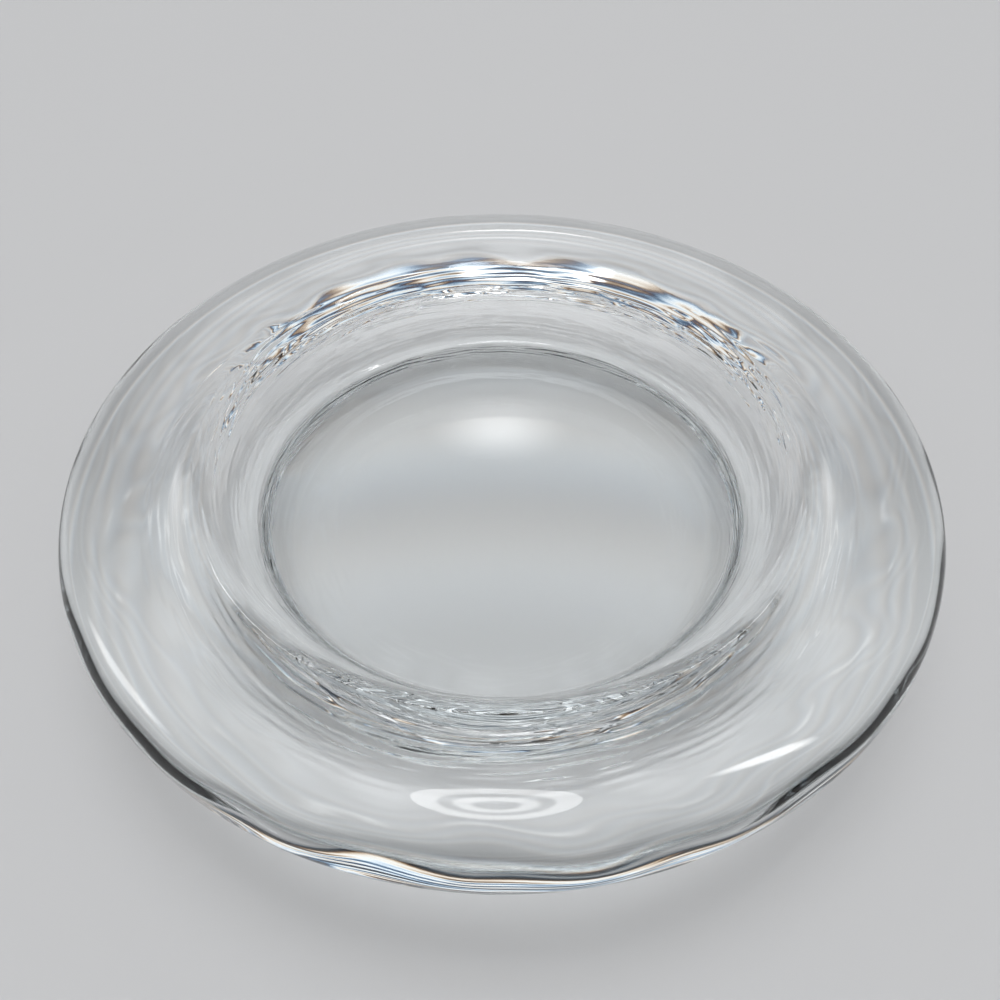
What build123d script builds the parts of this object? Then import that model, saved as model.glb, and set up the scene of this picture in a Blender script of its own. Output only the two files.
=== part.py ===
from build123d import *
from math import asin, atan2, cos, degrees, radians, sqrt, tan
import os

# Floating candle bowl: one thick piece of clear crystal glass, round about +Z.
# A wide, softly domed rim overhangs a heavy, flat-bottomed body, and the well in
# the body's top holds the water that candles float on.
# Lengths are millimetres and angles degrees. The origin is the centre of the base.

# Rim, with each round measured on the bowl's section
rim_radius = 110.0  # outer edge of the rim
height = 46.6  # base to the crest of the rim
rim_width = 38.1  # outer edge to the inner side of the shoulder
crest_inset = 20.0  # outer edge in to the line where the rim is highest
crest_round = 37.0  # soft dome of the rim's top
edge_round = 7.5  # outer edge
shoulder_round = 10.4  # roll from the rim's top down into the well

# Underside of the rim, which dips towards the body and rises towards the edge
underside_inset = 18.3  # outer edge in to the line where the underside is lowest
underside_rise = 1.4  # from that line up to the foot of the edge's round

# Well
floor_thickness = 22.4  # base to the floor of the well
wall_flare = 27.0  # wall of the well, away from upright
floor_corner = 3.5  # round where the wall meets the floor

# Body under the rim
base_radius = 65.3  # where the base and the side would meet in a sharp corner
base_round = 11.5  # round at that corner
body_flare = 22.0  # side of the body, away from upright
cove_round = 22.0  # hollow round from the side out to the rim's underside

# The edge's round and the shoulder's roll each touch the dome of the crest from inside,
# so their heights follow from how far they stand from the crest's line.
crest_radius = rim_radius - crest_inset
dome_height = height - crest_round

edge_radius = rim_radius - edge_round
edge_reach = edge_radius - crest_radius
edge_lift = sqrt((crest_round - edge_round) ** 2 - edge_reach**2)
edge_height = dome_height + edge_lift
edge_angle = degrees(atan2(edge_lift, edge_reach))

shoulder_radius = rim_radius - rim_width + shoulder_round
shoulder_reach = shoulder_radius - crest_radius
shoulder_lift = sqrt((crest_round - shoulder_round) ** 2 - shoulder_reach**2)
shoulder_height = dome_height + shoulder_lift
shoulder_angle = degrees(atan2(shoulder_lift, shoulder_reach))
wall_angle = 180 - wall_flare

# The underside bows up from its lowest line until it meets the edge's round smoothly.
underside_radius = rim_radius - underside_inset
underside_height = edge_height - edge_round - underside_rise
bow_reach = edge_radius - underside_radius
bow_round = (bow_reach**2 + underside_rise * (2 * edge_round + underside_rise)) / (2 * underside_rise)
bow_angle = degrees(asin(bow_reach / (bow_round - edge_round)))

# The side of the body carries the base's round at its foot and the cove at its top.
# A short side, or a narrow underside, limits them.
body_top_radius = base_radius + underside_height * tan(radians(body_flare))
side_length = underside_height / cos(radians(body_flare))
reach_per_round = tan(radians(90 - body_flare) / 2)
cove_limit = min(0.6 * side_length, 0.98 * (underside_radius - body_top_radius)) / reach_per_round
base_limit = 0.35 * side_length / reach_per_round

with BuildPart() as glass_bowl:
    with BuildSketch(Plane.XZ):
        with BuildLine():
            FilletPolyline(
                (0, 0),
                (base_radius, 0),
                (body_top_radius, underside_height),
                (underside_radius, underside_height),
                radius=[min(base_round, base_limit), min(cove_round, cove_limit)],
            )
            CenterArc((underside_radius, underside_height + bow_round), bow_round, -90, bow_angle)
            edge_start = bow_angle - 90
            CenterArc((edge_radius, edge_height), edge_round, edge_start, edge_angle - edge_start)
            CenterArc(
                (crest_radius, dome_height), crest_round, edge_angle, shoulder_angle - edge_angle
            )
            shoulder = CenterArc(
                (shoulder_radius, shoulder_height),
                shoulder_round,
                shoulder_angle,
                wall_angle - shoulder_angle,
            )
            well_top = shoulder @ 1
            floor_radius = well_top.X - (well_top.Y - floor_thickness) * tan(radians(wall_flare))
            FilletPolyline(
                well_top, (floor_radius, floor_thickness), (0, floor_thickness), radius=floor_corner
            )
            Line((0, floor_thickness), (0, 0))
        make_face()
    revolve(axis=Axis.Z)
glass_bowl.part.label = "glass_bowl"

os.makedirs("parts", exist_ok=True)
export_step(glass_bowl.part, "parts/glass_bowl.step")
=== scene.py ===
from math import asin, atan2, cos, degrees, pi, radians, sin, sqrt, tan

import bpy
import numpy as np
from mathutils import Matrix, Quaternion, Vector


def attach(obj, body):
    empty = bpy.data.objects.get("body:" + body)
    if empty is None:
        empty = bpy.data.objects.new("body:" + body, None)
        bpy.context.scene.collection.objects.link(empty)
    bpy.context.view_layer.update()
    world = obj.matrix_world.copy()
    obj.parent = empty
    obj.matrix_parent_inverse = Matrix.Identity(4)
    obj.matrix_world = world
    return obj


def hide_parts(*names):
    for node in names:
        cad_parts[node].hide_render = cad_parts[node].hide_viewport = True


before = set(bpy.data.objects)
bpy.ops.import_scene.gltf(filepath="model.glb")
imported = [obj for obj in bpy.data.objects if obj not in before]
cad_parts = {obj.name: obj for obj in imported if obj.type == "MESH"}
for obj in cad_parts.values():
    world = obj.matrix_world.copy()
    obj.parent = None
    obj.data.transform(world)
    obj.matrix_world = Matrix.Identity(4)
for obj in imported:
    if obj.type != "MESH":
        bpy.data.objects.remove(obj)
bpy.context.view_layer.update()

MM = 0.001

# The bowl's section in millimetres and degrees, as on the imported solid
RIM_RADIUS = 110.0
HEIGHT = 46.6
RIM_WIDTH = 38.1
CREST_INSET = 20.0
CREST_ROUND = 37.0
EDGE_ROUND = 7.5
SHOULDER_ROUND = 10.4
UNDERSIDE_INSET = 18.3
UNDERSIDE_RISE = 1.4
FLOOR_THICKNESS = 22.4
WALL_FLARE = 27.0
FLOOR_CORNER = 3.5
BASE_RADIUS = 65.3
BASE_ROUND = 11.5
BODY_FLARE = 22.0
COVE_ROUND = 22.0

# The grid: steps round the bowl, and millimetres between rows along each stretch of the section.
# Rows lie close where the glass is rippled.
AROUND = 280
ROW_STEP = {
    "base_round": 0.30,
    "cove": 0.30,
    "underside": 0.70,
    "edge": 0.60,
    "crest": 1.00,
    "shoulder": 0.30,
    "corner": 0.35,
}
FLAT_ROWS = 7  # across the base and across the well's floor
ARC_POINTS = 400  # on each arc of the dense outline that the rows are read from
SLOPE_STEP = 0.05  # millimetres to either side of a row, between which its slope is read

# The lines that pressing and tooling left in the glass: how far they stand off the true section and
# how far apart they are, in millimetres, how many lobes they have round the bowl, and their sway
WALL_LINES = (0.03, 2.0, 4, 0.5)
BODY_LINES = (0.034, 1.75, 6, 0.7)
UNDER_LINES = (0.012, 5.0, 12, 1.5)
TOP_LINES = (0.012, 14.0, 8, 2.0)
# Each line is three sines of these shares of the pitch. It sways, quivers and fades slowly: by how
# much, in how many lobes, and over how many pitches along the section.
LINE_SINES = (0.8, 1.0, 1.4)
SWAY_SPAN = 15
QUIVER = 0.10
QUIVER_LOBES = 40
QUIVER_SPAN = 6
FADE = 0.2
FADE_SPAN = 9
# A slow waviness under the rim: its height and its span in millimetres, and its lobes
UNDER_WAVE = 0.11
UNDER_WAVE_SPAN = 26.0
UNDER_WAVE_LOBES = 30
# Where they lie: a stretch and the millimetres past its start where they begin, the same for where
# they end, and the width over which they fade in and out
WALL_PLACE = ("shoulder", 3.0, "floor", 1.0, 5.0)
BODY_PLACE = ("base_round", 2.0, "underside", 0.0, 6.0)
UNDER_PLACE = ("underside", -4.0, "edge", 7.0, 9.0)
TOP_PLACE = ("edge", 8.0, "shoulder", 4.0, 12.0)

# The glass: fine lines in its surface, the film of handling, and scuffs on the ring that the bowl
# stands on. Sizes and places along the section are in millimetres, and a film or scuff goes from
# none to its full roughness between two levels of its noise.
GLASS_INDEX = 1.52
LINE_WIDTH = 0.9
LINE_LENGTH = 16.0
LINE_HEIGHT = 0.002
FILM_SIZE = 22.0
FILM_LEVELS = (0.5, 0.8)
FILM_ROUGHNESS = 0.04
SCUFF_START = 46.0
SCUFF_END = 59.0
SCUFF_SOFT = 5.0
SCUFF_LEVELS = (0.4, 0.7)
SCUFF_ROUGHNESS = 0.25
TINT_PER_METRE = 4.0

# The studio floor, in metres. It lies just under the base, so that the two faces don't share a
# plane.
FLOOR_REACH = 3.0
FLOOR_DROP = 0.0002
FLOOR_ROUGHNESS = 0.7

# How bright a lamp is at each share of the way from its centre to its edge: a ring lamp, and a
# soft box
RING = [
    (0.00, 0.10),
    (0.24, 0.10),
    (0.32, 1.00),
    (0.46, 1.00),
    (0.54, 0.15),
    (0.66, 0.15),
    (0.72, 1.00),
    (1.00, 0.90),
]
SOFT = [(0.0, 1.0), (0.55, 0.9), (1.0, 0.0)]

# Each lamp's name, place and aim in metres, roll in degrees, width and depth in metres, watts and
# profile
LAMPS = [
    ("ring_lamp", (-0.008, -0.112, 0.80), (-0.008, -0.112, 0.0), 0, 0.27, 0.25, 1.0, RING),
    ("right_strip_lamp", (0.544, -0.142, 0.79), (0.05, -0.09, 0.04), 0, 0.07, 0.36, 0.7, SOFT),
    ("left_strip_lamp", (-0.824, -0.017, 0.548), (-0.077, -0.071, 0.0435),
     37, 0.44, 0.08, 0.5, SOFT),
    ("back_strip_lamp", (0.035, 0.96, 0.535), (0.0, 0.09, 0.0466), 0, 0.26, 0.04, 0.2, SOFT),
]

# The studio as a dome round the bowl: degrees above the floor, and how bright it is there. It meets
# the floor in the floor's own grey and darkens above it, which draws the glass's edges. Then come
# narrow bands of light, which draw bright lines in the rippled glass, and soft light overhead.
DOME = [
    (0.0, 0.591),
    (2.0, 0.573),
    (8.0, 0.34),
    (11.0, 0.05),
    (13.0, 0.05),
    (16.5, 1.20),
    (20.0, 0.04),
    (27.0, 0.02),
    (31.0, 1.05),
    (34.5, 0.10),
    (38.0, 1.05),
    (41.5, 0.10),
    (45.0, 1.05),
    (48.5, 0.10),
    (53.0, 1.05),
    (58.0, 0.30),
    (63.0, 1.40),
    (69.0, 2.65),
    (77.0, 3.35),
    (90.0, 3.55),
]
DOME_WHITE = 6.0  # the brightness that white stands for on the dome's ramps
# Crystal glass splits light a little, which draws fringes of colour along bright edges. The
# material has one index for all colours, so the narrow bands, which lie between these two rises,
# are shifted by this many degrees down in red and up in blue.
FRINGE = 0.3
FRINGE_FROM = 10.0
FRINGE_TO = 55.0
# A soft oval of light high behind the bowl, which the well's floor mirrors: the rise of its middle,
# half its width and half its height in degrees, and its brightness
PATCH_RISE = 44.0
PATCH_WIDE = 5.0
PATCH_TALL = 2.4
PATCH_LIGHT = 3.2

# The camera: millimetres of lens and sensor, metres, and degrees that it looks down
LENS = 32.05
SENSOR = 36.0
CLIP_START = 0.01
CAMERA_PLACE = (-0.0005, -0.1629, 0.2036)
CAMERA_DOWN = 48.656


def arc(centre, radius, start, end):
    """Points on a circle from the start angle to the end angle, in degrees."""
    turn = np.radians(np.linspace(start, end, ARC_POINTS))
    return np.stack([centre[0] + radius * np.cos(turn), centre[1] + radius * np.sin(turn)], 1)


def bowl_outline():
    """The section as one dense line of (radius, height), from the centre of the base out along
    the base, up the body, out under the rim, over the rim and down the well to the centre of its
    floor. Every arc touches its neighbours, so the outline has no corner. Also returns the length
    along the line and where each stretch starts on it."""
    crest_r = RIM_RADIUS - CREST_INSET
    dome_z = HEIGHT - CREST_ROUND
    edge_r = RIM_RADIUS - EDGE_ROUND
    edge_z = dome_z + sqrt((CREST_ROUND - EDGE_ROUND) ** 2 - (edge_r - crest_r) ** 2)
    edge_turn = degrees(atan2(edge_z - dome_z, edge_r - crest_r))
    shoulder_r = RIM_RADIUS - RIM_WIDTH + SHOULDER_ROUND
    shoulder_z = dome_z + sqrt((CREST_ROUND - SHOULDER_ROUND) ** 2 - (shoulder_r - crest_r) ** 2)
    shoulder_turn = degrees(atan2(shoulder_z - dome_z, shoulder_r - crest_r))

    low_r = RIM_RADIUS - UNDERSIDE_INSET
    low_z = edge_z - EDGE_ROUND - UNDERSIDE_RISE
    reach = edge_r - low_r
    bow = (reach**2 + UNDERSIDE_RISE * (2 * EDGE_ROUND + UNDERSIDE_RISE)) / (2 * UNDERSIDE_RISE)
    bow_turn = degrees(asin(reach / (bow - EDGE_ROUND)))

    top_r = BASE_RADIUS + low_z * tan(radians(BODY_FLARE))
    per_round = tan(radians(90 - BODY_FLARE) / 2)
    base_c = (BASE_RADIUS - BASE_ROUND * per_round, BASE_ROUND)
    cove_c = (top_r + COVE_ROUND * per_round, low_z - COVE_ROUND)
    shoulder = arc((shoulder_r, shoulder_z), SHOULDER_ROUND, shoulder_turn, 180 - WALL_FLARE)
    floor_r = shoulder[-1, 0] - (shoulder[-1, 1] - FLOOR_THICKNESS) * tan(radians(WALL_FLARE))
    corner_reach = FLOOR_CORNER * tan(radians(90 - WALL_FLARE) / 2)
    corner_c = (floor_r - corner_reach, FLOOR_THICKNESS + FLOOR_CORNER)
    stretches = {
        "base": np.array([[0.0, 0.0]]),
        "base_round": arc(base_c, BASE_ROUND, -90, -BODY_FLARE),
        "cove": arc(cove_c, COVE_ROUND, 180 - BODY_FLARE, 90),
        "underside": arc((low_r, low_z + bow), bow, -90, bow_turn - 90),
        "edge": arc((edge_r, edge_z), EDGE_ROUND, bow_turn - 90, edge_turn),
        "crest": arc((crest_r, dome_z), CREST_ROUND, edge_turn, shoulder_turn),
        "shoulder": shoulder,
        "corner": arc(corner_c, FLOOR_CORNER, -WALL_FLARE, -90),
        "floor": np.array([[corner_c[0], FLOOR_THICKNESS], [0.0, FLOOR_THICKNESS]]),
    }
    line = np.concatenate(list(stretches.values()))
    along = np.r_[0, np.cumsum(np.hypot(*np.diff(line, axis=0).T))]
    firsts = np.cumsum([0] + [len(s) for s in stretches.values()])[:-1]
    return line, along, dict(zip(stretches, along[firsts]))


def swell(x, low, high, soft):
    """0 outside low..high and 1 inside, with a smooth step of the given width at each end."""
    up = np.clip((x - low) / soft + 0.5, 0, 1)
    down = np.clip((high - x) / soft + 0.5, 0, 1)
    return up * up * (3 - 2 * up) * down * down * (3 - 2 * down)


def bowl_surface():
    """The glass as a grid: step along the section by step round the axis.

    A point is the section's point at that length, turned by its angle, and then moved along the
    section's outward normal by the ripples that pressing and tooling left in the glass: rings a few
    millimetres apart whose lines waver round the bowl, and a slow waviness under the rim. Also
    returns the two poles and each row's length along the section."""
    line, along, at = bowl_outline()
    ends = dict(zip(at, list(at.values())[1:]))
    steps = np.concatenate(
        [np.linspace(ends["base"] / FLAT_ROWS, ends["base"], FLAT_ROWS - 1, endpoint=False)]
        + [np.arange(at[name], ends[name], step) for name, step in ROW_STEP.items()]
        + [np.linspace(at["floor"], along[-1], FLAT_ROWS, endpoint=False)]
    )
    r, z = (np.interp(steps, along, side) for side in line.T)
    before, after = steps - SLOPE_STEP, steps + SLOPE_STEP
    dr, dz = (np.interp(after, along, side) - np.interp(before, along, side) for side in line.T)
    normal_r, normal_z = dz / np.hypot(dr, dz), -dr / np.hypot(dr, dz)
    s = steps[:, None]
    a = np.linspace(0, 2 * pi, AROUND, endpoint=False)[None, :]
    draw = np.random.default_rng(7)

    def wander(lobes, span, count=5):
        """A slow unevenness, about 1 high: a sum of sines, each with a whole number of lobes round
        the bowl, up to the given number, and a wave along the section of about the given span."""
        turns = draw.integers(2, lobes + 1, (count, 1, 1)) * draw.choice([-1, 1], (count, 1, 1))
        waves = 2 * pi / (span * draw.uniform(0.7, 1.8, (count, 1, 1)))
        shift = draw.uniform(0, 2 * pi, (count, 1, 1))
        return np.sin(turns * a + waves * s + shift).sum(0) / sqrt(count / 2)

    def streaks(height, pitch, lobes, sway):
        """Lines that run round the bowl about a pitch apart: sines of the length along the section,
        each bent by a slow wander and a quick one and faded a little by another."""
        total = 0
        for share in LINE_SINES:
            bent = (
                s
                + sway * wander(lobes, SWAY_SPAN * pitch)
                + QUIVER * wander(QUIVER_LOBES, QUIVER_SPAN * pitch)
            )
            faded = 1 - FADE + FADE * wander(lobes, FADE_SPAN * pitch)
            wave = np.sin(2 * pi * bent / (share * pitch) + draw.uniform(0, 2 * pi))
            total = total + faded * wave
        return height * total / sqrt(len(LINE_SINES) / 2)

    def within(first, past_first, last, past_last, soft):
        """1 in one place along the section and 0 elsewhere."""
        return swell(s, at[first] + past_first, at[last] + past_last, soft)

    out = (
        within(*WALL_PLACE) * streaks(*WALL_LINES)
        + within(*BODY_PLACE) * streaks(*BODY_LINES)
        + within(*UNDER_PLACE) * streaks(*UNDER_LINES)
        + within(*UNDER_PLACE) * UNDER_WAVE * wander(UNDER_WAVE_LOBES, UNDER_WAVE_SPAN)
        + within(*TOP_PLACE) * streaks(*TOP_LINES)
    )
    r = (r[:, None] + out * normal_r[:, None]) * MM
    z = (z[:, None] + out * normal_z[:, None]) * MM
    grid = np.stack([r * np.cos(a), r * np.sin(a), z], -1)
    poles = np.array([[0, 0, 0], [0, 0, FLOOR_THICKNESS * MM]])
    return grid, poles, np.r_[steps, 0.0, along[-1]]


def bowl_mesh(name):
    """The grid as quads, closed round the axis, with a fan of triangles to the pole at each end.
    Each point carries its length along the section, in millimetres, for the material's fine lines,
    and how far it lies on the ring that the bowl stands on."""
    grid, poles, lengths = bowl_surface()
    rows, cols = grid.shape[:2]
    points = np.concatenate([grid.reshape(-1, 3), poles])
    index = np.arange(rows * cols).reshape(rows, cols)
    right = np.roll(index, -1, axis=1)
    quads = np.stack([index[:-1], right[:-1], right[1:], index[1:]], -1).reshape(-1, 4)
    low = np.full(cols, rows * cols)
    high = low + 1
    fans = np.concatenate(
        [np.stack([low, right[0], index[0]], -1), np.stack([high, index[-1], right[-1]], -1)]
    )
    corners = np.concatenate([quads.ravel(), fans.ravel()])
    counts = np.concatenate([np.full(len(quads), 4), np.full(len(fans), 3)])
    mesh = bpy.data.meshes.new(name)
    mesh.vertices.add(len(points))
    mesh.vertices.foreach_set("co", points.astype(np.float32).ravel())
    mesh.loops.add(len(corners))
    mesh.loops.foreach_set("vertex_index", corners.astype(np.int32))
    mesh.polygons.add(len(counts))
    mesh.polygons.foreach_set("loop_start", (np.cumsum(counts) - counts).astype(np.int32))
    mesh.polygons.foreach_set("use_smooth", np.ones(len(counts), bool))
    lengths = np.r_[np.repeat(lengths[:-2], cols), lengths[-2:]]
    for label, values in (
        ("along_section", lengths),
        ("stand_wear", swell(lengths, SCUFF_START, SCUFF_END, SCUFF_SOFT)),
    ):
        layer = mesh.attributes.new(label, "FLOAT", "POINT")
        layer.data.foreach_set("value", values.astype(np.float32))
    mesh.update(calc_edges=True)
    mesh.validate()
    return mesh


def linear(code):
    """An sRGB hex colour as linear red, green, blue and alpha 1."""
    part = np.array([int(code[i : i + 2], 16) for i in (1, 3, 5)]) / 255
    return (*np.where(part <= 0.04045, part / 12.92, ((part + 0.055) / 1.055) ** 2.4), 1.0)


def add(tree, kind, values=None, links=None, **settings):
    """A node of that kind, with its settings, the values of its sockets and what links to them."""
    node = tree.nodes.new(kind)
    for key, value in settings.items():
        setattr(node, key, value)
    for key, value in (values or {}).items():
        node.inputs[key].default_value = value
    for key, source in (links or {}).items():
        tree.links.new(source, node.inputs[key])
    return node


def set_stops(ramp, stops):
    """Puts (position, grey level) stops on a colour ramp."""
    while len(ramp.elements) < len(stops):
        ramp.elements.new(1.0)
    for element, (position, level) in zip(ramp.elements, stops):
        element.position = position
        element.color = (level, level, level, 1.0)


def clear_pressed_glass():
    """Clear crystal glass, pressed in a mould and fire polished: bright and colourless, with a
    faint cool grey where it is thick. The polish leaves it mirror smooth but never flat, so lines
    from the mould and the tools run round it, and handling leaves a film that dulls it in patches.
    The ring that it stands on is scuffed."""
    mat = bpy.data.materials.new("clear_pressed_glass")
    mat.use_nodes = True
    tree = mat.node_tree
    glass = tree.nodes["Principled BSDF"]
    glass.inputs["Base Color"].default_value = linear("#FBFCFC")
    glass.inputs["Transmission Weight"].default_value = 1.0
    glass.inputs["IOR"].default_value = GLASS_INDEX
    place = add(tree, "ShaderNodeTexCoord").outputs["Object"]
    along = add(tree, "ShaderNodeAttribute", attribute_name="along_section").outputs["Fac"]
    wear = add(tree, "ShaderNodeAttribute", attribute_name="stand_wear").outputs["Fac"]

    # Fine lines: noise drawn out round the bowl, because it reads a point's direction from the axis
    # in long steps and its length along the section in short ones
    flat = add(tree, "ShaderNodeVectorMath", {1: (1.0, 1.0, 0.0)}, {0: place}, operation="MULTIPLY")
    bearing = add(tree, "ShaderNodeVectorMath", links={0: flat.outputs[0]}, operation="NORMALIZE")
    step = add(tree, "ShaderNodeMath", {1: 1 / LINE_WIDTH}, {0: along}, operation="MULTIPLY")
    lift = add(tree, "ShaderNodeCombineXYZ", links={2: step.outputs[0]})
    spot = add(
        tree,
        "ShaderNodeVectorMath",
        {1: (RIM_RADIUS / LINE_LENGTH, RIM_RADIUS / LINE_LENGTH, 0.0)},
        {0: bearing.outputs[0], 2: lift.outputs[0]},
        operation="MULTIPLY_ADD",
    )
    lines = add(tree, "ShaderNodeTexNoise", {"Scale": 1.0, "Detail": 1.0}, {0: spot.outputs[0]})
    bump = add(tree, "ShaderNodeBump", {"Distance": LINE_HEIGHT * MM}, {"Height": lines.outputs[0]})
    tree.links.new(bump.outputs[0], glass.inputs["Normal"])

    # Dull patches: a handled film all over, and scuffs on the ring that the bowl stands on
    film_scale = 1 / (FILM_SIZE * MM)
    film = add(tree, "ShaderNodeTexNoise", {"Scale": film_scale, "Detail": 2.0}, {0: place})
    dull, worn = (
        add(
            tree,
            "ShaderNodeMapRange",
            {"From Min": levels[0], "From Max": levels[1], "To Min": 0.0, "To Max": roughness},
            {"Value": noise.outputs[0]},
        )
        for noise, levels, roughness in (
            (film, FILM_LEVELS, FILM_ROUGHNESS),
            (lines, SCUFF_LEVELS, SCUFF_ROUGHNESS),
        )
    )
    rough = add(
        tree,
        "ShaderNodeMath",
        links={0: wear, 1: worn.outputs[0], 2: dull.outputs[0]},
        operation="MULTIPLY_ADD",
    )
    tree.links.new(rough.outputs[0], glass.inputs["Roughness"])

    tint = {"Color": linear("#E6F0F2"), "Density": TINT_PER_METRE}
    depth = add(tree, "ShaderNodeVolumeAbsorption", tint)
    tree.links.new(depth.outputs[0], tree.nodes["Material Output"].inputs["Volume"])
    return mat


def pale_floor():
    """Matt pale grey studio board."""
    mat = bpy.data.materials.new("pale_board")
    mat.use_nodes = True
    paint = mat.node_tree.nodes["Principled BSDF"]
    paint.inputs["Base Color"].default_value = linear("#CBCBCB")
    paint.inputs["Roughness"].default_value = FLOOR_ROUGHNESS
    return mat


def put(name, data, material=None):
    """An object in the scene, at the origin."""
    thing = bpy.data.objects.new(name, data)
    bpy.context.scene.collection.objects.link(thing)
    if material:
        data.materials.append(material)
    return thing


bowl = put("glass_bowl_rippled", bowl_mesh("glass_bowl_rippled"), clear_pressed_glass())
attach(bowl, "root")
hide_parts("glass_bowl")

floor_mesh = bpy.data.meshes.new("floor")
floor_signs = ((-1, -1), (1, -1), (1, 1), (-1, 1))
floor_mesh.from_pydata(
    [(x * FLOOR_REACH, y * FLOOR_REACH, -FLOOR_DROP) for x, y in floor_signs], [], [(0, 1, 2, 3)]
)
floor = put("floor", floor_mesh, pale_floor())


def area_lamp(name, place, aim, roll, width, depth, watts, profile):
    """An oval lamp at a place, turned to shine at the aim and rolled about that line. It only draws
    a highlight on the glass: light that a small lamp sends through glass would lie in hard patches
    on the floor."""
    lamp = bpy.data.lights.new(name, "AREA")
    lamp.shape = "ELLIPSE"
    lamp.size = width
    lamp.size_y = depth
    lamp.energy = watts
    lamp.use_nodes = True
    tree = lamp.node_tree
    spot = add(tree, "ShaderNodeNewGeometry").outputs["Parametric"]
    out = add(tree, "ShaderNodeVectorMath", {1: (0.5, 0.5, 0.0)}, {0: spot}, operation="DISTANCE")
    ramp = add(tree, "ShaderNodeValToRGB", links={0: out.outputs["Value"]})
    set_stops(ramp.color_ramp, [(share / 2, level) for share, level in profile])
    tree.links.new(ramp.outputs["Color"], tree.nodes["Emission"].inputs["Strength"])
    thing = put(name, lamp)
    thing.location = place
    thing.visible_camera = False
    thing.visible_diffuse = False
    thing.visible_transmission = False
    way = Vector(aim) - Vector(place)
    turn = way.to_track_quat("-Z", "Y") @ Quaternion((0, 0, 1), radians(roll))
    thing.rotation_euler = turn.to_euler()


for lamp in LAMPS:
    area_lamp(*lamp)


def studio_dome():
    """A world that is bright by the rise of a direction, with the soft oval added to it."""
    world = bpy.data.worlds.new("studio")
    world.use_nodes = True
    tree = world.node_tree
    way = add(tree, "ShaderNodeTexCoord").outputs["Generated"]
    height = add(tree, "ShaderNodeSeparateXYZ", links={0: way}).outputs["Z"]
    bands = []
    for shift in (-FRINGE, 0.0, FRINGE):
        band = add(tree, "ShaderNodeValToRGB", links={0: height})
        band.color_ramp.interpolation = "EASE"
        rises = [r + shift if FRINGE_FROM < r < FRINGE_TO else r for r, _ in DOME]
        levels = [level / DOME_WHITE for _, level in DOME]
        set_stops(band.color_ramp, [(sin(radians(r)), v) for r, v in zip(rises, levels)])
        bands.append(band.outputs["Color"])
    dome = add(tree, "ShaderNodeCombineColor", links=dict(enumerate(bands)))

    # The oval: how far a direction is from its middle, in shares of its half width and height
    rise = radians(PATCH_RISE)
    middle = (0.0, cos(rise), sin(rise))
    shares = (1 / radians(PATCH_WIDE), 1.0, 1 / (radians(PATCH_TALL) * cos(rise)))
    away = add(tree, "ShaderNodeVectorMath", {1: middle}, {0: way}, operation="SUBTRACT")
    oval = add(
        tree, "ShaderNodeVectorMath", {1: shares}, {0: away.outputs[0]}, operation="MULTIPLY"
    )
    reach = add(tree, "ShaderNodeVectorMath", links={0: oval.outputs[0]}, operation="LENGTH")
    patch = add(
        tree,
        "ShaderNodeMapRange",
        {"From Min": 1.0, "From Max": 0.0, "To Min": 0.0, "To Max": PATCH_LIGHT / DOME_WHITE},
        {"Value": reach.outputs["Value"]},
        interpolation_type="SMOOTHSTEP",
    )
    light = add(
        tree,
        "ShaderNodeVectorMath",
        links={0: dome.outputs[0], 1: patch.outputs["Result"]},
        operation="ADD",
    )
    cool = linear("#F7F8FA")
    tinted = add(
        tree, "ShaderNodeVectorMath", {1: cool[:3]}, {0: light.outputs[0]}, operation="MULTIPLY"
    )
    sky = tree.nodes["Background"]
    tree.links.new(tinted.outputs[0], sky.inputs["Color"])
    sky.inputs["Strength"].default_value = DOME_WHITE

    # The camera itself sees a plain backdrop in the floor's own grey. The bands show only in the
    # glass.
    plain = add(tree, "ShaderNodeBackground", {"Color": cool, "Strength": DOME[0][1]})
    seen = add(tree, "ShaderNodeLightPath").outputs["Is Camera Ray"]
    backdrop = add(
        tree, "ShaderNodeMixShader", links={0: seen, 1: sky.outputs[0], 2: plain.outputs[0]}
    )
    tree.links.new(backdrop.outputs[0], tree.nodes["World Output"].inputs["Surface"])
    return world


scene = bpy.context.scene
scene.world = studio_dome()

lens = bpy.data.cameras.new("camera")
lens.sensor_width = SENSOR
lens.lens = LENS
lens.clip_start = CLIP_START
camera = put("camera", lens)
camera.location = CAMERA_PLACE
camera.rotation_euler = (radians(90 - CAMERA_DOWN), 0.0, 0.0)
scene.camera = camera

scene.view_settings.view_transform = "Standard"
scene.cycles.blur_glossy = 0.0  # keeps the fine lines crisp where glass is seen in glass
